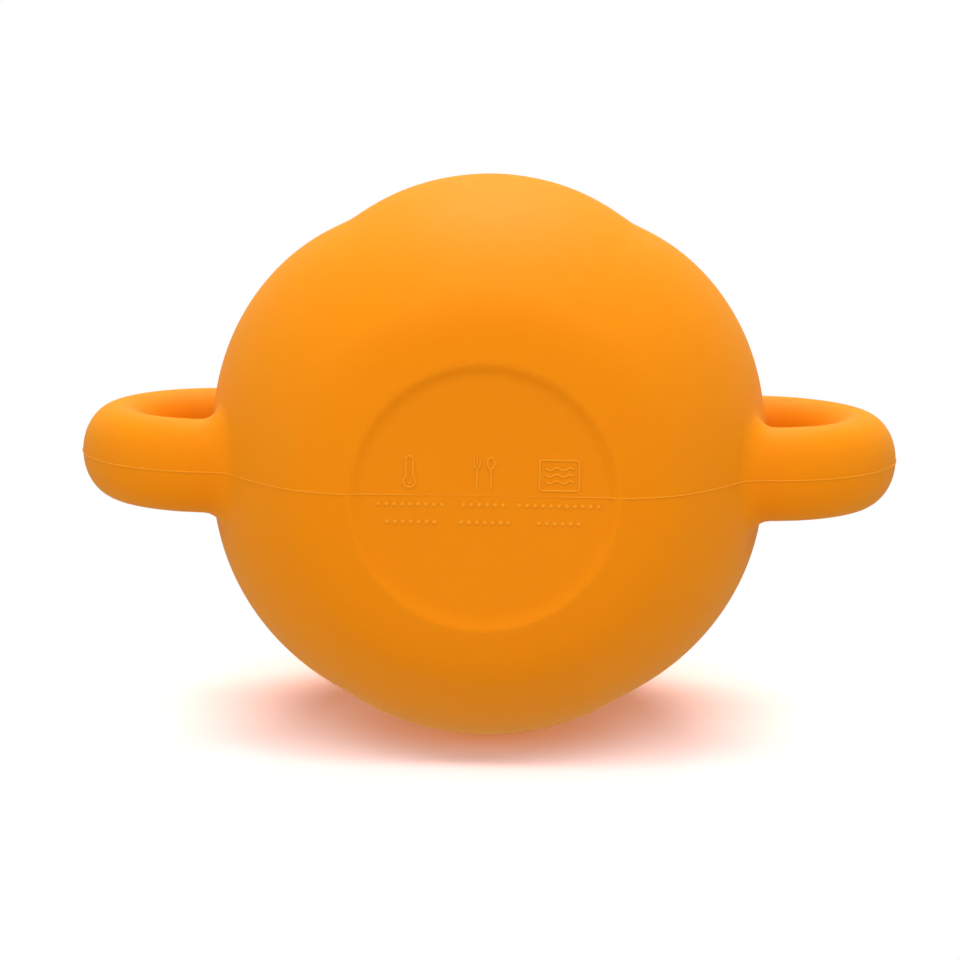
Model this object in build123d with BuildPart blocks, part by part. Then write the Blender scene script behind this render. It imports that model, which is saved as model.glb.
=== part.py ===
from build123d import *
from math import cos, exp, radians, sin, sqrt
import os

os.makedirs("parts", exist_ok=True)

# Silicone training cup, standing upright on its foot. Millimetres, +Z up, origin at the
# centre of the foot. X runs through the two handles, and the drinking side is -Y.

# Outer form of the cup
belly_radius = 44.3
belly_height = 37.2
shoulder_rise = 60.0
rim_height = 74.0
lip_rounding = 1.4
mouth_rounding = 1.0

# Four soft lobes: shares of the radius, and angles from the handle axis in degrees
valley_depth = 0.029
valley_angle = 59.2
valley_width = 13.2
side_flat_depth = 0.030
side_flat_width = 18.7
front_squash = 0.0154
lobe_growth = 1.6
lobe_fade_start = 40.0
lobe_fade_end = 72.0

# Inside of the cup
cavity_inset = 4.4
floor_height = 4.0
mouth_radius = 31.5
neck_height = 66.0
neck_slope = 2.0
recess_radius = 18.4
recess_depth = 0.6
recess_slope = 0.6
foot_radius = 20.4
sole_reach = 28.5
sole_radius = 80.0

# Ring handles
handle_reach = 42.5
handle_height = 37.5
ring_radius = 15.6
grip_half_width = 7.15
grip_half_depth = 5.5

# Lid, which plugs into the mouth and rests on the rim
seat_gap = 0.2
plug_gap = 0.2
plug_depth = 6.5
plug_wall = 2.2
rib_count = 2
rib_height = 0.12
rib_length = 1.2
rib_pitch = 2.6
rib_root = 0.5
lid_radius = 36.0
lid_edge = 2.6
lid_dome = 1.5
lid_rounding = 1.0
tab_reach = 39.6
tab_half_width = 8.0
tab_thickness = 2.2
tab_corner = 3.5
port_offset = 13.0
port_radius = 7.2
port_height = 5.6
port_rounding = 1.2
vent_offset = 19.0
vent_radius = 0.9
vent_boss_radius = 2.6
vent_boss_height = 0.8

# Straw, which slides in the lid's port down to its stop collar
straw_radius = 4.0
straw_bore = 2.75
straw_clearance = 0.08
straw_foot = 7.5
straw_length = 113.0
stop_radius = 6.0
stop_thickness = 2.2
stop_gap = 0.1
stop_rounding = 0.6
tip_radius = 4.7
tip_length = 12.0
tip_taper = 3.0
tip_rounding = 0.8
notch_width = 2.0
notch_depth = 2.4

section_heights = [0, 3, 8, 16, 26, 36, 46, 56, 65, 74]
points_per_section = 36


def side_profile(height, inset=0.0):
    """Radius of the plain round form: half a ball below the belly, a taller egg above it."""
    rise = belly_radius if height < belly_height else shoulder_rise
    share = (height - belly_height) / (rise - inset)
    return (belly_radius - inset) * sqrt(1 - share**2)


def lobe_strength(height):
    """How far the lobes stand out: none at the foot, most above the belly, none at the rim."""
    fade = (height - lobe_fade_start) / (lobe_fade_end - lobe_fade_start)
    fade = min(max(fade, 0.0), 1.0)
    return (height / belly_height) ** lobe_growth * (1 - fade**2 * (3 - 2 * fade))


def lobed_radius(angle, height):
    """Radius of the lobed form at an angle from the handle axis."""
    fold = abs((angle + 90) % 180 - 90)
    valley = valley_depth * exp(-(((fold - valley_angle) / valley_width) ** 2))
    side_flat = side_flat_depth * exp(-((fold / side_flat_width) ** 2))
    squash = front_squash * sin(radians(angle)) ** 2
    return side_profile(height) * (1 - lobe_strength(height) * (valley + side_flat + squash))


def section_points(height):
    """Points of one closed level section of the lobed form."""
    angles = [360 * step / points_per_section for step in range(points_per_section)]
    radii = [lobed_radius(angle, height) for angle in angles]
    return [(r * cos(radians(a)), r * sin(radians(a))) for r, a in zip(radii, angles)]


# Solid outer form, lofted through level sections
with BuildPart() as outer_form:
    for section_height in section_heights:
        with BuildSketch(Plane.XY.offset(section_height)):
            with BuildLine():
                Spline(*section_points(section_height), periodic=True)
            make_face()
    loft()

# Cup body: lobed outside, plain round inside, with a straight mouth for the lid's plug
belly_inside = (belly_radius - cavity_inset, belly_height)
floor_edge = (side_profile(floor_height, cavity_inset), floor_height)
neck_foot = (side_profile(neck_height - neck_slope, cavity_inset), neck_height - neck_slope)
rim_radius = side_profile(rim_height)
lip_top = (rim_radius - lip_rounding, rim_height)
lip_middle = (rim_radius - 0.25 * lip_rounding, rim_height - 0.4 * lip_rounding)
lip_side = (side_profile(rim_height - lip_rounding), rim_height - lip_rounding)
mouth_side = (mouth_radius, rim_height - mouth_rounding)
mouth_middle = (mouth_radius + 0.3 * mouth_rounding, rim_height - 0.3 * mouth_rounding)
mouth_top = (mouth_radius + mouth_rounding, rim_height)
clear_radius = rim_radius + 2 * lip_rounding
clear_height = rim_height + lip_rounding


def sole_point(reach):
    """A point of the sole, which rises from the ring that the cup stands on."""
    return (reach, (reach**2 - foot_radius**2) / (2 * sole_radius))


sole_start = sole_point(foot_radius)
sole_middle = sole_point((foot_radius + sole_reach) / 2)
sole_end = sole_point(sole_reach)

with BuildPart() as cup_body:
    add(outer_form.part)
    with BuildSketch(Plane.XZ):
        with BuildLine():
            TangentArc(belly_inside, floor_edge, tangent=(0, -1))
            TangentArc(belly_inside, neck_foot, tangent=(0, 1))
            Polyline(neck_foot, (mouth_radius, neck_height), mouth_side)
            ThreePointArc(mouth_side, mouth_middle, mouth_top)
            Polyline(
                mouth_top,
                (mouth_top[0], clear_height),
                (0, clear_height),
                (0, floor_height),
                floor_edge,
            )
        make_face()
    revolve(axis=Axis.Z, mode=Mode.SUBTRACT)
    with BuildSketch(Plane.XZ):
        with BuildLine():
            ThreePointArc(lip_top, lip_middle, lip_side)
            Polyline(
                lip_side,
                (clear_radius, lip_side[1]),
                (clear_radius, clear_height),
                (lip_top[0], clear_height),
                lip_top,
            )
        make_face()
    revolve(axis=Axis.Z, mode=Mode.SUBTRACT)
    with BuildSketch(Plane.XZ):
        with BuildLine():
            ThreePointArc(sole_start, sole_middle, sole_end)
            Polyline(sole_end, (sole_reach, -recess_depth), (foot_radius, -recess_depth), sole_start)
        make_face()
    revolve(axis=Axis.Z, mode=Mode.SUBTRACT)
    with BuildSketch(Plane.XZ):
        Polygon(
            (0, 0),
            (recess_radius + recess_slope, 0),
            (recess_radius - recess_slope, recess_depth),
            (0, recess_depth),
            align=None,
        )
    revolve(axis=Axis.Z, mode=Mode.SUBTRACT)

cup_body.part.label = "cup_body"
export_step(cup_body.part, "parts/cup_body.step")

# Ring handles, which grow out of the lobed form on both sides
with BuildPart() as handle_right:
    with BuildSketch(Plane.XY.offset(handle_height)):
        with Locations((handle_reach + ring_radius, 0)):
            Ellipse(grip_half_depth, grip_half_width)
    revolve(axis=Axis((handle_reach, 0, handle_height), (0, 1, 0)))
    add(outer_form.part, mode=Mode.SUBTRACT)

handle_right.part.label = "handle_right"
export_step(handle_right.part, "parts/handle_right.step")

with BuildPart() as handle_left:
    mirror(handle_right.part, about=Plane.YZ)

handle_left.part.label = "handle_left"
export_step(handle_left.part, "parts/handle_left.step")

# Lid: a soft dome that plugs the mouth, with a pull tab, a port for the straw and a vent
seat_height = rim_height + seat_gap
plug_radius = mouth_radius - plug_gap
plug_bottom = seat_height - plug_depth
lid_top = seat_height + lid_edge
rib_centres = [plug_bottom + rib_pitch * (step + 0.5) for step in range(rib_count)]
port_bore = straw_radius + straw_clearance
port_top = lid_top + port_height

with BuildPart() as lid:
    with BuildSketch(Plane.XZ):
        with BuildLine():
            lid_side = ThreePointArc(
                (lid_radius - lid_rounding, seat_height),
                (lid_radius, seat_height + lid_edge / 2),
                (lid_radius - lid_rounding, lid_top),
            )
            crown = (0, lid_top + lid_dome)
            TangentArc(crown, lid_side @ 1, tangent=(1, 0))
            Polyline(
                crown,
                (0, seat_height),
                (plug_radius - plug_wall, seat_height),
                (plug_radius - plug_wall, plug_bottom),
                (plug_radius, plug_bottom),
                (plug_radius, seat_height),
                lid_side @ 0,
            )
        make_face()
    revolve(axis=Axis.Z)
    for rib_centre in rib_centres:
        with BuildSketch(Plane.XZ):
            Polygon(
                (plug_radius - rib_root, rib_centre - rib_length / 2),
                (plug_radius + rib_height, rib_centre),
                (plug_radius - rib_root, rib_centre + rib_length / 2),
                align=None,
            )
        revolve(axis=Axis.Z)
    with BuildSketch(Plane.XY.offset(lid_top - tab_thickness)):
        tab_length = tab_reach - lid_radius + tab_half_width
        with Locations((0, -tab_reach + tab_length / 2)):
            RectangleRounded(2 * tab_half_width, tab_length, tab_corner)
    extrude(amount=tab_thickness)
    with BuildSketch(Plane.XY.offset(seat_height)):
        with Locations((0, -port_offset)):
            Circle(port_radius)
    extrude(amount=port_top - seat_height)
    fillet(lid.edges().filter_by(GeomType.CIRCLE).group_by(Axis.Z)[-1], port_rounding)
    with BuildSketch(Plane.XY.offset(lid_top)):
        with Locations((0, vent_offset)):
            Circle(vent_boss_radius)
    extrude(amount=vent_boss_height + lid_dome)
    with Locations((0, -port_offset, port_top)):
        Hole(port_bore)
    with Locations((0, vent_offset, port_top)):
        Hole(vent_radius)

lid.part.label = "lid"
export_step(lid.part, "parts/lid.step")

# Straw: a plain tube with a softer, wider drinking tip, a stop collar and a notched foot
stop_bottom = port_top + stop_gap
stop_top = stop_bottom + stop_thickness
straw_top = straw_foot + straw_length
tip_bottom = straw_top - tip_length

with BuildPart() as straw:
    with BuildSketch(Plane.XZ):
        with BuildLine():
            Polyline(
                (straw_bore, straw_foot),
                (straw_radius, straw_foot),
                (straw_radius, stop_bottom),
                (stop_radius, stop_bottom),
                (stop_radius, stop_top),
                (straw_radius, stop_top),
                (straw_radius, tip_bottom),
                (tip_radius, tip_bottom + tip_taper),
                (tip_radius, straw_top),
                (straw_bore, straw_top),
                close=True,
            )
        make_face()
    revolve(axis=Axis.Z)
    fillet(straw.edges().filter_by(GeomType.CIRCLE).group_by(Axis.Z)[-1], tip_rounding)
    round_edges = straw.edges().filter_by(GeomType.CIRCLE)
    stop_rims = round_edges.filter_by(lambda edge: abs(edge.radius - stop_radius) < 0.01)
    fillet(stop_rims, stop_rounding)
    with BuildSketch(Plane.XY.offset(straw_foot)):
        Rectangle(notch_width, 2 * stop_radius)
    extrude(amount=notch_depth, mode=Mode.SUBTRACT)

straw.part.label = "straw"
straw_in_place = Pos(0, -port_offset, 0) * straw.part
straw_in_place.label = "straw"
export_step(straw_in_place, "parts/straw.step")
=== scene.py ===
import bpy
import bmesh
import math
import numpy as np
from mathutils import Matrix, Vector


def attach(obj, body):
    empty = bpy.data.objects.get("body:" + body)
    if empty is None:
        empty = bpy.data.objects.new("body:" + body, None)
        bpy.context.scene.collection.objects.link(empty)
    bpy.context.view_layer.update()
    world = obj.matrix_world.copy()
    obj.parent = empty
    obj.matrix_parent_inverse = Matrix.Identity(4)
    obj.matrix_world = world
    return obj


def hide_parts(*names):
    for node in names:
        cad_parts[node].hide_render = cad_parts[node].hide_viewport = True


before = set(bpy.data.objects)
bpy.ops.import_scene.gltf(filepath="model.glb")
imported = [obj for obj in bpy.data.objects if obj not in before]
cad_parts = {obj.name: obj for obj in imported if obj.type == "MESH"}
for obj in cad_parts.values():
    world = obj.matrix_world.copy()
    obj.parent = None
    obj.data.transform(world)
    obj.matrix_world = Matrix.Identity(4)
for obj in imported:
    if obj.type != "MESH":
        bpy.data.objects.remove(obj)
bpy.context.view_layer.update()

# The forms are worked out in millimetres and written to their meshes in metres
MM = 0.001

# Outer form of the cup
BELLY_RADIUS = 44.3
BELLY_HEIGHT = 37.2
SHOULDER_RISE = 60.0
RIM_HEIGHT = 74.0
LIP_ROUNDING = 1.5
FOOT_RADIUS = 19.8
FOOT_ROUNDING = 1.0
SOLE_RADIUS = 80.0

# Four soft lobes: shares of the radius, and angles from the handle axis in degrees
VALLEY_DEPTH = 0.034
VALLEY_ANGLE = 59.2
VALLEY_WIDTH = 12.0
VALLEY_SOFTNESS = 1.3
SIDE_FLAT_DEPTH = 0.030
SIDE_FLAT_WIDTH = 18.7
FRONT_SQUASH = 0.0154
LOBE_GROWTH = 1.6
LOBE_FADE_START = 40.0
LOBE_FADE_END = 72.0

# Inside and underside
CAVITY_INSET = 4.4
FLOOR_HEIGHT = 4.0
FLOOR_ROUNDING = 4.0
MOUTH_RADIUS = 31.5
MOUTH_ROUNDING = 1.0
NECK_HEIGHT = 65.2
NECK_ROUNDING = 1.2
RECESS_RADIUS = 18.9
RECESS_SHIFT = 0.35
RECESS_DEPTH = 0.8
RECESS_SLOPE = 0.8

# Ring handles
HANDLE_REACH = 42.38
HANDLE_HEIGHT = 37.5
RING_RADIUS = 15.6
GRIP_HALF_WIDTH = 7.15
GRIP_HALF_DEPTH = 5.5
ROOT_FILLET = 2.6

# Lid
SEAT_HEIGHT = 74.2
LID_RADIUS = 36.0
LID_EDGE = 2.6
LID_DOME = 1.5
LID_ROUNDING = 1.2
UNDERSIDE_ROUNDING = 0.8
PLUG_RADIUS = 31.3
PLUG_WALL = 2.2
PLUG_BOTTOM = 67.7
PLUG_ROUNDING = 0.8
PLUG_FILLET = 0.5
RIB_HEIGHT = 0.12
RIB_LENGTH = 1.2
RIB_PITCH = 2.6
RIB_COUNT = 2
TAB_REACH = 39.6
TAB_ROOT = 28.0
TAB_HALF_WIDTH = 8.0
TAB_CORNER = 3.5
TAB_FILLET = 2.5
PORT_OFFSET = 13.0
PORT_RADIUS = 7.2
PORT_TOP = 82.4
PORT_ROUNDING = 1.2
PORT_FILLET = 1.8
PORT_BORE = 4.08
PORT_MOUTH_ROUNDING = 0.6
VENT_OFFSET = 19.0
VENT_BOSS_RADIUS = 2.6
VENT_BOSS_TOP = 79.1
VENT_BOSS_ROUNDING = 0.5
VENT_BOSS_FILLET = 0.6
VENT_RADIUS = 0.9
VENT_MOUTH_ROUNDING = 0.3

# Straw
STRAW_RADIUS = 4.0
STRAW_BORE = 2.75
STRAW_BORE_ROUNDING = 0.35
STRAW_FOOT = 7.5
STRAW_FOOT_ROUNDING = 0.3
STRAW_TOP = 120.5
STOP_RADIUS = 6.0
STOP_BOTTOM = 82.5
STOP_THICKNESS = 2.2
STOP_ROUNDING = 0.6
STOP_FILLET = 0.5
TIP_RADIUS = 4.7
TIP_BOTTOM = 108.5
TIP_TAPER = 3.0
TIP_ROUNDING = 0.8
NOTCH_WIDTH = 2.0
NOTCH_DEPTH = 2.4
NOTCH_ROUNDING = 0.2

# How points are moved onto a form: the step that its slope is measured over, the least slope that
# counts, and the longest move at a time
SLOPE_STEP = 0.02
LEAST_SLOPE = 0.05
LONGEST_MOVE = 1.0
TINY = 1e-6


def smooth_step(value, start, end):
    """0 before start, 1 after end, with a soft turn at both."""
    share = np.clip((value - start) / (end - start), 0.0, 1.0)
    return share * share * (3 - 2 * share)


def join(a, b, fillet):
    """Distance field of two forms in one, with a round fillet where they meet."""
    inner = np.hypot(np.maximum(fillet - a, 0), np.maximum(fillet - b, 0))
    return np.maximum(fillet, np.minimum(a, b)) - inner


def common(a, b, rounding):
    """Distance field of what two forms share, with a rounded edge."""
    outer = np.hypot(np.maximum(rounding + a, 0), np.maximum(rounding + b, 0))
    return np.minimum(-rounding, np.maximum(a, b)) + outer


def oval(across, up, half_across, half_up):
    """Distance from an oval round the origin."""
    size = np.maximum(np.hypot(across / half_across, up / half_up), TINY)
    steepness = np.hypot(across / half_across**2, up / half_up**2) / size
    return (size - 1) / np.maximum(steepness, TINY)


def egg(reach, rise, radius, shoulder):
    """Distance from a ball below the belly and a taller egg above it."""
    return oval(reach, rise, radius, np.where(rise < 0, radius, shoulder))


def lobe_scale(x, y, z):
    """Share of the round form's radius that the lobes leave at each point."""
    angle = np.degrees(np.arctan2(np.abs(y), np.abs(x)))
    past_valley = np.abs(angle - VALLEY_ANGLE) / VALLEY_WIDTH
    valley = VALLEY_DEPTH * np.exp(-(past_valley**VALLEY_SOFTNESS))
    side_flat = SIDE_FLAT_DEPTH * np.exp(-((angle / SIDE_FLAT_WIDTH) ** 2))
    squash = FRONT_SQUASH * np.sin(np.radians(angle)) ** 2
    growth = (np.clip(z, 0, RIM_HEIGHT) / BELLY_HEIGHT) ** LOBE_GROWTH
    strength = growth * (1 - smooth_step(z, LOBE_FADE_START, LOBE_FADE_END))
    return 1 - strength * (valley + side_flat + squash)


def ring_handles(x, y, z):
    """Distance from the nearer ring handle, an oval grip bent into a circle."""
    bend = np.hypot(np.abs(x) - HANDLE_REACH, z - HANDLE_HEIGHT) - RING_RADIUS
    return oval(bend, y, GRIP_HALF_DEPTH, GRIP_HALF_WIDTH)


def underside(x, y):
    """Height of the underside: a shallow recess, the ring round it, and a sole that rises."""
    ring = np.hypot(x, y - RECESS_SHIFT)
    edge = smooth_step(ring, RECESS_RADIUS - RECESS_SLOPE, RECESS_RADIUS + RECESS_SLOPE)
    sole = np.maximum(x**2 + y**2 - FOOT_RADIUS**2, 0) / (2 * SOLE_RADIUS)
    return RECESS_DEPTH * (1 - edge) + sole


def cup_outside(points):
    """Distance field of the lobed body and its handles, with the recessed foot and no inside."""
    x, y, z = points.T
    reach = np.hypot(x, y)
    body = egg(reach / lobe_scale(x, y, z), z - BELLY_HEIGHT, BELLY_RADIUS, SHOULDER_RISE)
    body = common(body, underside(x, y) - z, FOOT_ROUNDING)
    outside = join(body, ring_handles(x, y, z), ROOT_FILLET)
    return common(outside, z - RIM_HEIGHT, LIP_ROUNDING)


def cup_inside(points):
    """Distance field of the space inside the cup: a round bulb and a straight mouth."""
    x, y, z = points.T
    reach = np.hypot(x, y)
    bulb = egg(reach, z - BELLY_HEIGHT, BELLY_RADIUS - CAVITY_INSET, SHOULDER_RISE - CAVITY_INSET)
    bulb = common(bulb, z - NECK_HEIGHT, NECK_ROUNDING)
    bulb = common(bulb, FLOOR_HEIGHT - z, FLOOR_ROUNDING)
    mouth = np.maximum(reach - MOUTH_RADIUS, BELLY_HEIGHT - z)
    return join(bulb, mouth, MOUTH_ROUNDING)


def cup_field(points):
    """Distance field of the hollow cup with its handles."""
    return common(cup_outside(points), -cup_inside(points), MOUTH_ROUNDING)


def tab_outline(x, y):
    """Distance from the pull tab's outline in plan, a rectangle with round corners."""
    half_length = (TAB_REACH - TAB_ROOT) / 2
    dx = np.abs(x) - (TAB_HALF_WIDTH - TAB_CORNER)
    dy = np.abs(y + TAB_ROOT + half_length) - (half_length - TAB_CORNER)
    past_corner = np.hypot(np.maximum(dx, 0), np.maximum(dy, 0))
    return past_corner + np.minimum(np.maximum(dx, dy), 0) - TAB_CORNER


def lid_field(points):
    """Distance field of the lid: domed disc, ribbed plug, pull tab, straw port and vent."""
    x, y, z = points.T
    reach = np.hypot(x, y)
    lid_top = SEAT_HEIGHT + LID_EDGE
    crown = lid_top + LID_DOME * (1 - (reach / LID_RADIUS) ** 2)
    outline = join(reach - LID_RADIUS, tab_outline(x, y), TAB_FILLET)
    lid = common(outline, z - crown, LID_ROUNDING)
    port_reach = np.hypot(x, y + PORT_OFFSET)
    port = common(port_reach - PORT_RADIUS, z - PORT_TOP, PORT_ROUNDING)
    lid = join(lid, port, PORT_FILLET)
    vent_reach = np.hypot(x, y - VENT_OFFSET)
    boss = common(vent_reach - VENT_BOSS_RADIUS, z - VENT_BOSS_TOP, VENT_BOSS_ROUNDING)
    lid = join(lid, boss, VENT_BOSS_FILLET)
    lid = common(lid, SEAT_HEIGHT - z, UNDERSIDE_ROUNDING)
    ribs = sum(
        np.clip(1 - np.abs(z - PLUG_BOTTOM - RIB_PITCH * (step + 0.5)) / (RIB_LENGTH / 2), 0, 1)
        for step in range(RIB_COUNT)
    )
    plug = np.abs(reach - PLUG_RADIUS + PLUG_WALL / 2) - PLUG_WALL / 2
    plug = np.where(reach > PLUG_RADIUS - PLUG_WALL / 2, plug - RIB_HEIGHT * ribs, plug)
    plug_middle = (PLUG_BOTTOM + lid_top) / 2
    plug_half = (lid_top - PLUG_BOTTOM) / 2
    plug = common(plug, np.abs(z - plug_middle) - plug_half, PLUG_ROUNDING)
    lid = join(lid, plug, PLUG_FILLET)
    lid = common(lid, PORT_BORE - port_reach, PORT_MOUTH_ROUNDING)
    return common(lid, VENT_RADIUS - vent_reach, VENT_MOUTH_ROUNDING)


def straw_field(points):
    """Distance field of the straw: a tube with a stop collar, a wider tip and a notched foot."""
    x, y, z = points.T
    reach = np.hypot(x, y + PORT_OFFSET)
    widening = smooth_step(z, TIP_BOTTOM, TIP_BOTTOM + TIP_TAPER)
    tube = reach - STRAW_RADIUS - (TIP_RADIUS - STRAW_RADIUS) * widening
    stop_half = STOP_THICKNESS / 2
    stop_height = np.abs(z - STOP_BOTTOM - stop_half) - stop_half
    stop = common(reach - STOP_RADIUS, stop_height, STOP_ROUNDING)
    above = z > STOP_BOTTOM + stop_half
    straw = np.where(above, join(tube, stop, STOP_FILLET), np.minimum(tube, stop))
    straw = common(straw, z - STRAW_TOP, TIP_ROUNDING)
    straw = common(straw, STRAW_FOOT - z, STRAW_FOOT_ROUNDING)
    straw = common(straw, STRAW_BORE - reach, STRAW_BORE_ROUNDING)
    notch = np.maximum(np.abs(x) - NOTCH_WIDTH / 2, z - STRAW_FOOT - NOTCH_DEPTH)
    return common(straw, -notch, NOTCH_ROUNDING)


def settle(points, field, rounds):
    """Moves points straight onto the surface where a distance field is zero."""
    for _ in range(rounds):
        slope = np.empty_like(points)
        for axis in range(3):
            offset = np.zeros(3)
            offset[axis] = SLOPE_STEP
            rise = field(points + offset) - field(points - offset)
            slope[:, axis] = rise / (2 * SLOPE_STEP)
        steepness = np.maximum((slope**2).sum(axis=1), LEAST_SLOPE)
        move = np.clip(field(points) / steepness, -LONGEST_MOVE, LONGEST_MOVE)
        points = points - move[:, None] * slope
    return points


def finished(thing):
    """The plain mesh that an object's modifiers make. The object itself goes."""
    graph = bpy.context.evaluated_depsgraph_get()
    mesh = bpy.data.meshes.new_from_object(thing.evaluated_get(graph))
    bpy.data.objects.remove(thing)
    return mesh


def placed(name, mesh):
    """A new object in the scene."""
    thing = bpy.data.objects.new(name, mesh)
    bpy.context.scene.collection.objects.link(thing)
    return thing


# How close corners are to be welded, and the rounds in which a skin settles: first, then between
# the rounds that even its mesh, and last
WELD_DISTANCE = 0.001
FIRST_ROUNDS = 6
EVENING_ROUNDS = 6
ROUNDS_BETWEEN = 2
LAST_ROUNDS = 3


def moulded(nodes, field, grain):
    """A seamless skin: the CAD nodes as a rough blank, evenly remeshed and settled on a field."""
    weld = bmesh.new()
    for node in nodes:
        weld.from_mesh(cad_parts[node].data)
    bmesh.ops.remove_doubles(weld, verts=weld.verts, dist=WELD_DISTANCE * MM)
    blank = bpy.data.meshes.new("blank")
    weld.to_mesh(blank)
    weld.free()
    rough = placed("blank", blank)
    remesh = rough.modifiers.new("even_skin", "REMESH")
    remesh.mode = "VOXEL"
    remesh.voxel_size = grain * MM
    skin = finished(rough)
    flat = np.empty(len(skin.vertices) * 3)
    skin.vertices.foreach_get("co", flat)
    points = settle(flat.reshape(-1, 3) / MM, field, FIRST_ROUNDS)
    ends = np.empty(len(skin.edges) * 2, dtype=np.int64)
    skin.edges.foreach_get("vertices", ends)
    ends = ends.reshape(-1, 2)
    neighbours = np.bincount(ends.ravel(), minlength=len(points))[:, None]
    for _ in range(EVENING_ROUNDS):
        total = np.zeros_like(points)
        np.add.at(total, ends[:, 0], points[ends[:, 1]])
        np.add.at(total, ends[:, 1], points[ends[:, 0]])
        points = settle(0.5 * points + 0.5 * total / neighbours, field, ROUNDS_BETWEEN)
    points = settle(points, field, LAST_ROUNDS)
    skin.vertices.foreach_set("co", (points * MM).ravel())
    skin.shade_smooth()
    skin.update()
    return skin


class Value:
    """A node socket that adds Math nodes when it is used in an expression."""

    def __init__(self, tree, socket):
        self.tree = tree
        self.socket = socket

    def maths(self, operation, *values):
        return self.tree.node("ShaderNodeMath", {"operation": operation}, dict(enumerate(values)))[0]

    def __add__(self, other):
        return self.maths("ADD", self, other)

    def __radd__(self, other):
        return self.maths("ADD", other, self)

    def __sub__(self, other):
        return self.maths("SUBTRACT", self, other)

    def __rsub__(self, other):
        return self.maths("SUBTRACT", other, self)

    def __mul__(self, other):
        return self.maths("MULTIPLY", self, other)

    def __rmul__(self, other):
        return self.maths("MULTIPLY", other, self)


class Tree:
    """A node tree under construction, for a material or for geometry."""

    def __init__(self, nodes):
        self.nodes = nodes

    def node(self, kind, settings=None, inputs=None):
        """Adds a node: its settings first, then the values or links of its sockets."""
        node = self.nodes.nodes.new(kind)
        for key, value in (settings or {}).items():
            setattr(node, key, value)
        for key, value in (inputs or {}).items():
            if isinstance(value, Value):
                self.nodes.links.new(value.socket, node.inputs[key])
            else:
                node.inputs[key].default_value = value
        return [Value(self, socket) for socket in node.outputs]


def surface_tree(name):
    """A new material and its empty tree."""
    material = bpy.data.materials.new(name)
    material.use_nodes = True
    material.node_tree.nodes.clear()
    return material, Tree(material.node_tree)


# Scale, detail and roughness of the silicone's three noises, from broad clouds to a fine grain
CLOUDS = (38.0, 3.0, 0.55)
DUST = (420.0, 4.0, 0.7)
GRAIN = (2600.0, 2.0, 0.6)

# How much the clouds and the dust change the colour, the gloss and the bump
CLOUD_TONE = 0.5
DUST_TONE = 0.12
CLOUD_GLOSS = 0.08
DUST_GLOSS = 0.06
DUST_BUMP = 1.5
BUMP_STRENGTH = 0.12
BUMP_HEIGHT = 0.04
GLOW_DEPTH = 0.8


def silicone(name, colour, deep_colour, roughness, translucence):
    """Matte moulded silicone: faint clouding, a fine satin grain and a soft, deep glow."""
    material, tree = surface_tree(name)
    place = tree.node("ShaderNodeTexCoord")[3]

    def noise(scale, detail, rough):
        sizes = {"Vector": place, "Scale": scale, "Detail": detail, "Roughness": rough}
        return tree.node("ShaderNodeTexNoise", {}, sizes)[0]

    clouds = noise(*CLOUDS)
    dust = noise(*DUST)
    grain = noise(*GRAIN)
    tone = tree.node(
        "ShaderNodeMix",
        {"data_type": "RGBA"},
        {0: clouds * CLOUD_TONE + dust * DUST_TONE, 6: (*colour, 1), 7: (*deep_colour, 1)},
    )[2]
    relief = grain + dust * DUST_BUMP
    bump = tree.node(
        "ShaderNodeBump",
        {},
        {"Strength": BUMP_STRENGTH, "Distance": BUMP_HEIGHT * MM, "Height": relief},
    )[0]
    gloss = roughness + clouds * CLOUD_GLOSS - CLOUD_GLOSS / 2 + dust * DUST_GLOSS
    shader = tree.node(
        "ShaderNodeBsdfPrincipled",
        {"subsurface_method": "RANDOM_WALK"},
        {
            "Base Color": tone,
            "Roughness": gloss,
            "Normal": bump,
            "IOR": 1.42,
            "Specular IOR Level": 0.1,
            "Subsurface Weight": translucence,
            "Subsurface Radius": (1.0, 0.35, 0.08),
            "Subsurface Scale": GLOW_DEPTH * MM,
            "Sheen Weight": 0.04,
            "Sheen Roughness": 0.5,
            "Sheen Tint": (0.7, 0.9, 0.3, 1),
        },
    )[0]
    tree.node("ShaderNodeOutputMaterial", {}, {"Surface": shader})
    return material


# Colours are linear, each with the deeper one that it clouds towards
ORANGE = (0.86, 0.272, 0.0012)
DEEP_ORANGE = (0.82, 0.247, 0.001)
PALE_ORANGE = (0.90, 0.42, 0.10)
DEEP_PALE_ORANGE = (0.86, 0.37, 0.08)
# The raised marks get a lighter, yellower orange than the cup: painted highlight for the light that
# their ridges catch
PAINTED_LIT_RAISED_ORANGE = (0.90, 0.32, 0.012)
DEEP_PAINTED_LIT_RAISED_ORANGE = (0.86, 0.29, 0.010)
cup_silicone = silicone("cup_silicone", ORANGE, DEEP_ORANGE, 0.5, 0.35)
lid_silicone = silicone("lid_silicone", ORANGE, DEEP_ORANGE, 0.5, 0.35)
straw_silicone = silicone("straw_silicone", PALE_ORANGE, DEEP_PALE_ORANGE, 0.42, 0.5)
# Material of the raised marks, lighter than the cup's: painted highlight
painted_lit_raised_silicone = silicone("painted_lit_raised_silicone", PAINTED_LIT_RAISED_ORANGE, DEEP_PAINTED_LIT_RAISED_ORANGE, 0.45, 0.0)


def new_piece(name, mesh, body, material):
    """Wraps a finished mesh as a piece that rides on a CAD body."""
    mesh.name = name
    mesh.materials.clear()
    mesh.materials.append(material)
    piece = placed(name, mesh)
    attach(piece, body)
    return piece


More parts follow.
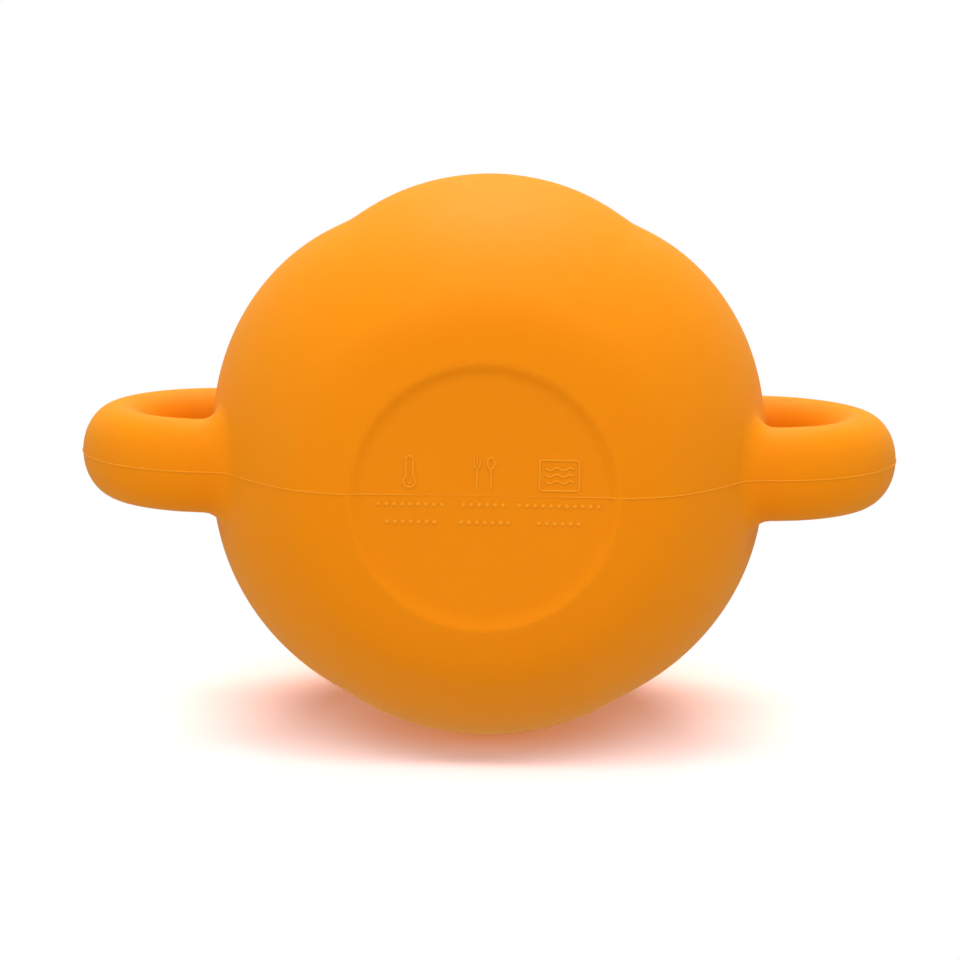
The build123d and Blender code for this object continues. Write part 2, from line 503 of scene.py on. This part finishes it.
# Size of the skins' mesh in millimetres
CUP_GRAIN = 0.85
LID_GRAIN = 0.45
STRAW_GRAIN = 0.4
cup_skin = moulded(("cup_body", "handle_left", "handle_right"), cup_field, CUP_GRAIN)
cup = new_piece("cup_moulding", cup_skin, "cup", cup_silicone)
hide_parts("cup_body", "handle_left", "handle_right")
lid_skin = moulded(("lid",), lid_field, LID_GRAIN)
lid = new_piece("lid_moulding", lid_skin, "lid", lid_silicone)
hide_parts("lid")
straw_skin = moulded(("straw",), straw_field, STRAW_GRAIN)
straw = new_piece("straw_tube", straw_skin, "straw", straw_silicone)
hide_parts("straw")


def geometry_tree(name, sizes):
    """A new geometry tree with named inputs, and the values that they give inside it."""
    nodes = bpy.data.node_groups.new(name, "GeometryNodeTree")
    nodes.interface.new_socket("Geometry", in_out="OUTPUT", socket_type="NodeSocketGeometry")
    nodes.interface.new_socket("Geometry", in_out="INPUT", socket_type="NodeSocketGeometry")
    for size, kind in sizes.items():
        nodes.interface.new_socket(size, in_out="INPUT", socket_type=kind)
    tree = Tree(nodes)
    given = tree.node("NodeGroupInput")
    return tree, dict(zip(["Geometry", *sizes], given))


def close_tree(tree, shape, material):
    """Ends a geometry tree: real geometry, smooth, with its material set."""
    real = tree.node("GeometryNodeRealizeInstances", {}, {"Geometry": shape})[0]
    smooth = tree.node("GeometryNodeSetShadeSmooth", {}, {"Geometry": real})[0]
    coated = tree.node("GeometryNodeSetMaterial", {}, {"Geometry": smooth, "Material": material})[0]
    tree.node("NodeGroupOutput", {}, {"Geometry": coated})
    return tree.nodes


# The noise that makes a bead uneven, and the ball that a pip is pressed from
BEAD_WANDER = {"Scale": 300.0, "Detail": 2.0}
PIP_MESH = {"Segments": 14, "Rings": 8, "Radius": 1.0}


def bead_tree():
    """A round bead along the edges of a mesh. Its size follows the path's bead_size attribute."""
    tree, given = geometry_tree(
        "raised_bead",
        {
            "Bead Radius": "NodeSocketFloat",
            "Step": "NodeSocketFloat",
            "Sides": "NodeSocketInt",
            "Unevenness": "NodeSocketFloat",
            "Seed": "NodeSocketFloat",
            "Material": "NodeSocketMaterial",
        },
    )
    line = tree.node("GeometryNodeMeshToCurve", {}, {"Mesh": given["Geometry"]})[0]
    line = tree.node(
        "GeometryNodeResampleCurve", {"mode": "LENGTH"}, {"Curve": line, "Length": given["Step"]}
    )[0]
    size = tree.node("GeometryNodeInputNamedAttribute", {}, {"Name": "bead_size"})[0]
    wander = tree.node(
        "ShaderNodeTexNoise", {"noise_dimensions": "4D"}, {"W": given["Seed"], **BEAD_WANDER}
    )[0]
    scale = size * (1 + given["Unevenness"] * (wander - 0.5))
    profile = tree.node(
        "GeometryNodeCurvePrimitiveCircle",
        {},
        {"Resolution": given["Sides"], "Radius": given["Bead Radius"]},
    )[0]
    bead = tree.node(
        "GeometryNodeCurveToMesh",
        {},
        {"Curve": line, "Profile Curve": profile, "Scale": scale, "Fill Caps": True},
    )[0]
    return close_tree(tree, bead, given["Material"])


def pip_tree():
    """A low round pip on each point of a mesh."""
    tree, given = geometry_tree(
        "raised_pips",
        {
            "Pip Radius": "NodeSocketFloat",
            "Pip Height": "NodeSocketFloat",
            "Material": "NodeSocketMaterial",
        },
    )
    ball = tree.node("GeometryNodeMeshUVSphere", {}, PIP_MESH)[0]
    size = tree.node(
        "ShaderNodeCombineXYZ",
        {},
        {"X": given["Pip Radius"], "Y": given["Pip Radius"], "Z": given["Pip Height"]},
    )[0]
    spots = tree.node("GeometryNodeMeshToPoints", {}, {"Mesh": given["Geometry"]})[0]
    pips = tree.node(
        "GeometryNodeInstanceOnPoints", {}, {"Points": spots, "Instance": ball, "Scale": size}
    )[0]
    return close_tree(tree, pips, given["Material"])


def grown(name, path, tree, values):
    """The plain mesh that a geometry tree grows on a path, with its named inputs given."""
    thing = placed(name, path)
    nodes = thing.modifiers.new(name, "NODES")
    nodes.node_group = tree
    inputs = [item for item in tree.interface.items_tree if item.in_out == "INPUT"]
    sockets = {item.name: item.identifier for item in inputs}
    for key, value in values.items():
        nodes[sockets[key]] = value
    return finished(thing)


def path_mesh(points, edges, sizes=None):
    """A mesh of edges through points in millimetres, with the size of the bead at each point."""
    path = bpy.data.meshes.new("path")
    path.from_pydata([(MM * x, MM * y, MM * z) for x, y, z in points], edges, [])
    size = path.attributes.new("bead_size", "FLOAT", "POINT")
    size.data.foreach_set("value", sizes if sizes is not None else [1.0] * len(points))
    return path


# Raised beads. Inside the recess the parting line's bead grows fainter towards the middle.
BEAD_SIDES = 10
BEAD_SEED = 4.0
PARTING_BEAD = 0.13
PARTING_STEP = 0.5
PARTING_UNEVENNESS = 0.7
FAINT_BEAD = 0.45
FAINT_START = 13.0
FAINT_END = 9.0
FAINT_HEIGHT = 2.0

# A point this close to a form counts as on its skin
ON_SKIN = 0.1


def parting_path(skin):
    """The line where the mould halves met: the skin's outer edge in the plane of the handles."""
    cut = bmesh.new()
    cut.from_mesh(skin)
    everything = cut.verts[:] + cut.edges[:] + cut.faces[:]
    middle = {"plane_co": (0, 0, 0), "plane_no": (0, 1, 0)}
    section = bmesh.ops.bisect_plane(cut, geom=everything, **middle)
    edges = [part for part in section["geom_cut"] if isinstance(part, bmesh.types.BMEdge)]
    corners = {corner: None for edge in edges for corner in edge.verts}
    points = np.array([corner.co for corner in corners]) / MM
    order = {corner: k for k, corner in enumerate(corners)}
    pairs = np.array([[order[corner] for corner in edge.verts] for edge in edges])
    cut.free()
    outer = (np.abs(cup_outside(points)) < ON_SKIN) & (points[:, 2] < RIM_HEIGHT - LIP_ROUNDING)
    pairs = pairs[outer[pairs].all(axis=1)]
    across = np.abs(points[:, 0])
    faint = (across < FAINT_START) & (points[:, 2] < FAINT_HEIGHT)
    growth = smooth_step(across, FAINT_END, FAINT_START)
    sizes = np.where(faint, FAINT_BEAD + (1 - FAINT_BEAD) * growth, 1.0)
    points[:, 2] = np.maximum(points[:, 2], PARTING_BEAD)
    return path_mesh(points, pairs.tolist(), sizes.tolist())


raised_bead = bead_tree()
raised_pips = pip_tree()


def bead_piece(name, path, radius, unevenness, step):
    """A raised bead on the cup, along the edges of a path."""
    values = {
        "Bead Radius": radius * MM,
        "Step": step * MM,
        "Sides": BEAD_SIDES,
        "Unevenness": unevenness,
        "Seed": BEAD_SEED,
        "Material": painted_lit_raised_silicone,
    }
    bead = grown(name, path, raised_bead, values)
    return new_piece(name, bead, "cup", painted_lit_raised_silicone)


parting = parting_path(cup.data)
bead_piece("parting_line", parting, PARTING_BEAD, PARTING_UNEVENNESS, PARTING_STEP)


# Raised care signs on the recess, laid out as seen from below: right is +X and up is -Y
def arc(centre, radius, start, end, steps):
    """Points along an arc, with its angles in degrees."""
    angles = np.radians(np.linspace(start, end, steps))
    return [(centre[0] + radius * math.cos(a), centre[1] + radius * math.sin(a)) for a in angles]


def thermometer():
    """A round bulb with a narrow round-ended stem, and a mark inside the bulb."""
    stem = 0.5
    stem_top = 5.25
    bulb = 0.86
    mark = 0.28
    centre = (-10.85, 2.0)
    gap = math.degrees(math.asin(stem / bulb))
    outline = arc(centre, bulb, 90 + gap, 450 - gap, 28)
    cap = arc((centre[0], stem_top), stem, 0, 180, 12)
    return [outline + cap + outline[:1], arc(centre, mark, 200, 340, 6)]


def fork():
    """Three tines on a round base, and a handle."""
    middle = -1.05
    tine_top = 5.65
    base_height = 4.5
    neck_top = 4.15
    handle_end = 1.1
    spread = 0.42
    tines = []
    for side in (-1, 0, 1):
        across = middle + side * spread
        tines.append([(across, tine_top), (across, base_height)])
    base = arc((middle, base_height), spread, 180, 360, 9)
    return tines + [base, [(middle, neck_top), (middle, handle_end)]]


def spoon():
    """An oval bowl and a handle."""
    middle = 1.0
    height = 4.8
    half_width = 0.55
    half_height = 0.85
    neck_top = 3.95
    handle_end = 1.1
    turn = np.linspace(0, 2 * math.pi, 24)
    bowl = [(middle + half_width * math.cos(a), height + half_height * math.sin(a)) for a in turn]
    return [bowl, [(middle, neck_top), (middle, handle_end)]]


def framed_waves():
    """Three waves in a frame with round corners."""
    low = (8.06, 0.9)
    high = (13.8, 5.4)
    corner = 0.5
    margin = 0.8
    wave_height = 0.2
    wave_rate = 3.2
    wave_levels = (2.15, 3.12, 4.08)
    frame_line = (
        arc((high[0] - corner, high[1] - corner), corner, 0, 90, 6)
        + arc((low[0] + corner, high[1] - corner), corner, 90, 180, 6)
        + arc((low[0] + corner, low[1] + corner), corner, 180, 270, 6)
        + arc((high[0] - corner, low[1] + corner), corner, 270, 360, 6)
    )
    across = np.linspace(low[0] + margin, high[0] - margin, 28)
    waves = []
    for level in wave_levels:
        wave = [(x, level + wave_height * math.sin((x - low[0]) * wave_rate)) for x in across]
        waves.append(wave)
    return [frame_line + frame_line[:1]] + waves


def sign_path(strokes):
    """One path of all strokes of a sign, on the recess's face."""
    points = []
    edges = []
    for stroke in strokes:
        start = len(points)
        points += [(across, -up, RECESS_DEPTH) for across, up in stroke]
        edges += [(start + k, start + k + 1) for k in range(len(stroke) - 1)]
    return path_mesh(points, edges)


SIGN_BEAD = 0.17
SIGN_STEP = 0.12
for sign_name, strokes in (
    ("sign_thermometer", thermometer()),
    ("sign_fork", fork()),
    ("sign_spoon", spoon()),
    ("sign_framed_waves", framed_waves()),
):
    bead_piece(sign_name, sign_path(strokes), SIGN_BEAD, 0.0, SIGN_STEP)

# Rows of plain pips under the signs, each with its middle, its height and its width
PIP_PITCH = 1.15
PIP_RADIUS = 0.36
PIP_HEIGHT = 0.18
PIP_ROWS = [
    (-10.7, -1.4, 9),
    (-0.1, -1.4, 5.5),
    (10.9, -1.4, 12),
    (-10.6, -4.0, 7),
    (0.15, -4.0, 7),
    (10.9, -4.0, 5.5),
]
spots = []
for middle, height, width in PIP_ROWS:
    count = round(width / PIP_PITCH) + 1
    for k in range(count):
        spots.append((middle + PIP_PITCH * (k - (count - 1) / 2), -height, RECESS_DEPTH))
pip_values = {
    "Pip Radius": PIP_RADIUS * MM,
    "Pip Height": PIP_HEIGHT * MM,
    "Material": painted_lit_raised_silicone,
}
pips = grown("recess_pips", path_mesh(spots, []), raised_pips, pip_values)
new_piece("recess_pips", pips, "cup", painted_lit_raised_silicone)

# The photograph's camera: below the foot, a little to the front and the right, looking up the axis
CAMERA_TILT = math.radians(10.75)
CAMERA_SWING = math.radians(1.06)
CAMERA_ROLL = math.radians(0.67)
CAMERA_DISTANCE = 450.0
SENSOR_WIDTH = 36.0
FOCAL_PIXELS = 3108.0
FRAME_PIXELS = 960.0
FOOT_PIXEL = (484.0, 496.9)


def photo_camera():
    """The scene's camera, on the photograph's side of the cup and turned as it was."""
    data = bpy.data.cameras.new("photo_camera")
    data.sensor_width = SENSOR_WIDTH
    data.lens = data.sensor_width * FOCAL_PIXELS / FRAME_PIXELS
    camera = placed("photo_camera", data)
    swing = Matrix.Rotation(-CAMERA_SWING, 3, "Y")
    up = swing @ Vector((0, -math.cos(CAMERA_TILT), math.sin(CAMERA_TILT)))
    back = swing @ Vector((0, -math.sin(CAMERA_TILT), -math.cos(CAMERA_TILT)))
    right = up.cross(back)
    pan = (FOOT_PIXEL[0] - FRAME_PIXELS / 2) / FOCAL_PIXELS
    drop = (FOOT_PIXEL[1] - FRAME_PIXELS / 2) / FOCAL_PIXELS
    place = back * CAMERA_DISTANCE * MM
    back = (back + right * pan - up * drop).normalized()
    right = up.cross(back).normalized()
    turn = Matrix((right, back.cross(right), back)).transposed()
    turn = turn @ Matrix.Rotation(CAMERA_ROLL, 3, "Z")
    camera.matrix_world = Matrix.Translation(place) @ turn.to_4x4()
    bpy.context.scene.camera = camera


photo_camera()


# Share of a sheet's half size at which it begins to fade out
FADE_START = 0.6


def studio_sheet(name, corners, faces, normal, centre, half, tint):
    """A sheet seen from its front only. It takes the object's shadow and fades out to white."""
    mesh = bpy.data.meshes.new(name)
    mesh.from_pydata(corners, [], faces)
    material, tree = surface_tree(name)
    rear = tree.node("ShaderNodeNewGeometry")[6]
    place = tree.node("ShaderNodeTexCoord")[3]
    away = tree.node("ShaderNodeVectorMath", {"operation": "SUBTRACT"}, {0: place, 1: centre})[0]
    away = tree.node("ShaderNodeVectorMath", {"operation": "DIVIDE"}, {0: away, 1: half})[0]
    away = tree.node("ShaderNodeVectorMath", {"operation": "LENGTH"}, {0: away})[1]
    fade = tree.node(
        "ShaderNodeMapRange",
        {"interpolation_type": "SMOOTHSTEP"},
        {"Value": away, "From Min": FADE_START, "From Max": 1.0},
    )[0]
    lit_from = tree.node("ShaderNodeCombineXYZ", {}, dict(enumerate(normal)))[0]
    paper = tree.node("ShaderNodeBsdfDiffuse", {}, {"Color": (*tint, 1), "Normal": lit_from})[0]
    clear = tree.node("ShaderNodeBsdfTransparent")[0]
    gone = tree.node("ShaderNodeMath", {"operation": "MAXIMUM"}, {0: rear, 1: fade})[0]
    sheet_shader = tree.node("ShaderNodeMixShader", {}, {0: gone, 1: paper, 2: clear})[0]
    tree.node("ShaderNodeOutputMaterial", {}, {"Surface": sheet_shader})
    mesh.materials.append(material)
    sheet = placed(name, mesh)
    sheet.visible_shadow = False
    sheet.visible_diffuse = False
    sheet.visible_glossy = False
    sheet.visible_transmission = False


# The photograph's table lies against the cup's back. It is a comb of narrow slats that face the
# photograph's camera, so that it shows from below and not from the sides or from above.
TABLE_Y = 0.0438
TABLE_LOW = -0.045
TABLE_HIGH = 0.11
TABLE_MIDDLE = (0, TABLE_Y, 0.03)
TABLE_HALF = (0.17, 1.0, 0.07)
# The table's tint is over 1 so that the open table clips to white. Its red channel, higher than the
# others, deepens the cup's orange bounce in the shadow into a painted reddish glow
TABLE_TINT_WITH_PAINTED_GLOW = (4.1, 3.15, 3.0)
SLAT_PITCH = 0.001
SLAT_DEPTH = 0.00036
SLAT_REACH = 0.2
SLAT_PLAN = [
    (-SLAT_REACH, 0),
    (-SLAT_REACH, SLAT_DEPTH),
    (SLAT_REACH, SLAT_DEPTH),
    (SLAT_REACH, 0),
]
slat_heights = np.arange(TABLE_LOW, TABLE_HIGH, SLAT_PITCH)
slat_corners = [(x, TABLE_Y + y, z) for z in slat_heights for x, y in SLAT_PLAN]
slat_faces = [tuple(range(4 * k, 4 * k + 4)) for k in range(len(slat_heights))]
studio_sheet(
    "photo_table", slat_corners, slat_faces, (0, -1, 0), TABLE_MIDDLE, TABLE_HALF, TABLE_TINT_WITH_PAINTED_GLOW
)

# A plain floor, a hair under the cup's foot
FLOOR_REACH = 0.3
FLOOR_Z = -0.0002
FLOOR_HALF = (0.2, 0.2, 1.0)
FLOOR_TINT = (1.4, 1.4, 1.4)
FLOOR_PLAN = [(-1, -1), (1, -1), (1, 1), (-1, 1)]
floor_corners = [(x * FLOOR_REACH, y * FLOOR_REACH, FLOOR_Z) for x, y in FLOOR_PLAN]
floor_faces = [(0, 1, 2, 3)]
studio_sheet(
    "shelf_floor", floor_corners, floor_faces, (0, 0, 1), (0, 0, 0), FLOOR_HALF, FLOOR_TINT
)


def studio_lamp(name, place, size, power, tint=(1, 1, 1)):
    """A soft oval lamp turned towards the middle of the cup."""
    data = bpy.data.lights.new(name, "AREA")
    data.shape = "ELLIPSE"
    data.size, data.size_y = size
    data.energy = power
    data.color = tint
    lamp = placed(name, data)
    lamp.location = place
    middle = Vector((0, 0, BELLY_HEIGHT * MM))
    lamp.rotation_euler = (middle - Vector(place)).to_track_quat("-Z", "Y").to_euler()


studio_lamp("key_above", (0.02, -0.815, 0.42), (0.7, 0.7), 5.9)
studio_lamp("over_front", (0.0, -0.9, -0.04), (0.7, 0.5), 1.1)
studio_lamp("front_above", (0.02, -0.8, -0.5), (2.3, 0.22), 4.2)
studio_lamp("fill_below", (0.0, 0.2, -0.85), (0.7, 0.7), 2.2, (1.0, 0.84, 0.55))
studio_lamp("side_left", (-0.85, -0.1, -0.25), (0.6, 0.6), 0.9)
studio_lamp("side_right", (0.85, -0.1, -0.25), (0.6, 0.6), 0.6)


WORLD_LIGHT = 0.55


def studio_world():
    """Even, plain light from all round, and a white background."""
    world = bpy.data.worlds.new("studio")
    world.use_nodes = True
    world.node_tree.nodes.clear()
    tree = Tree(world.node_tree)
    seen = tree.node("ShaderNodeLightPath")[0]
    white = {"Color": (1, 1, 1, 1)}
    light = tree.node("ShaderNodeBackground", {}, {**white, "Strength": WORLD_LIGHT})[0]
    backdrop = tree.node("ShaderNodeBackground", {}, {**white, "Strength": 1.0})[0]
    both = tree.node("ShaderNodeMixShader", {}, {0: seen, 1: light, 2: backdrop})[0]
    tree.node("ShaderNodeOutputWorld", {}, {"Surface": both})
    bpy.context.scene.world = world


studio_world()
bpy.context.scene.view_settings.view_transform = "Standard"
